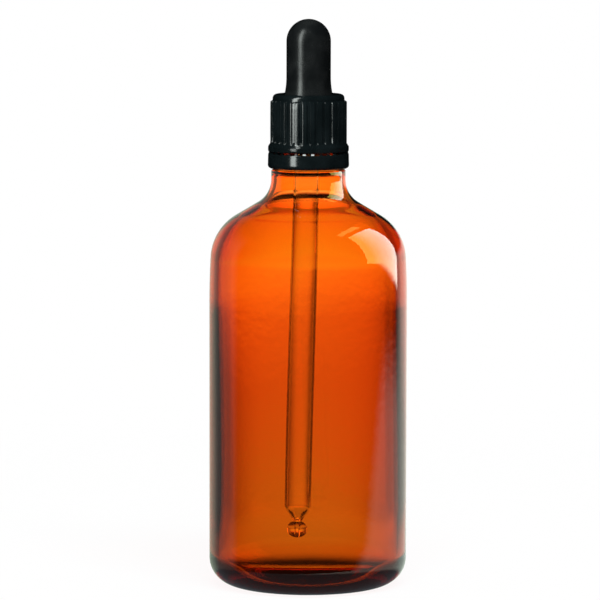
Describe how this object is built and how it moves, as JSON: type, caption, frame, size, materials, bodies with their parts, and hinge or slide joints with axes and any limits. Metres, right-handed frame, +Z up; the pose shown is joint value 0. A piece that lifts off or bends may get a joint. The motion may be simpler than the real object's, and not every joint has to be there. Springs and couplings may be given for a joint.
{
  "type": "dropper bottle",
  "caption": "Amber glass dropper bottle with a ribbed screw cap, tamper ring, rubber teat and glass pipette that lifts out.",
  "frame": {"origin": "middle of the surface that the bottle stands on", "axes": "+Z up along the bottle's axis; the pipette leans towards -X as it goes down; the front is -Y"},
  "size_m": [0.0466, 0.0466, 0.1338],
  "materials": {
    "amber_glass": "clear amber, polished",
    "clear_glass": "clear, polished",
    "cap_plastic": "moulded, semi-gloss",
    "ring_plastic": "moulded, semi-gloss",
    "teat_rubber": "smooth, satin"
  },
  "bodies": {
    "bottle": {"bottle": "amber_glass"},
    "dropper": {"rubber_teat": "teat_rubber", "glass_pipette": "clear_glass"},
    "cap": {"screw_cap": "cap_plastic"},
    "ring": {"tamper_ring": "ring_plastic"}
  },
  "joints": [
    {"name": "dropper_lift", "type": "slide", "parent": "bottle", "child": "dropper", "axis": [0, 0, 1], "range_m": [0, 0.11]},
    {"name": "cap_turn", "type": "hinge", "parent": "dropper", "child": "cap", "pos_m": [0, 0, 0.1095], "axis": [0, 0, 1], "range_deg": [0, 540]},
    {"name": "ring_turn", "type": "hinge", "parent": "bottle", "child": "ring", "pos_m": [0, 0, 0.1005], "axis": [0, 0, 1], "continuous": true}
  ]
}
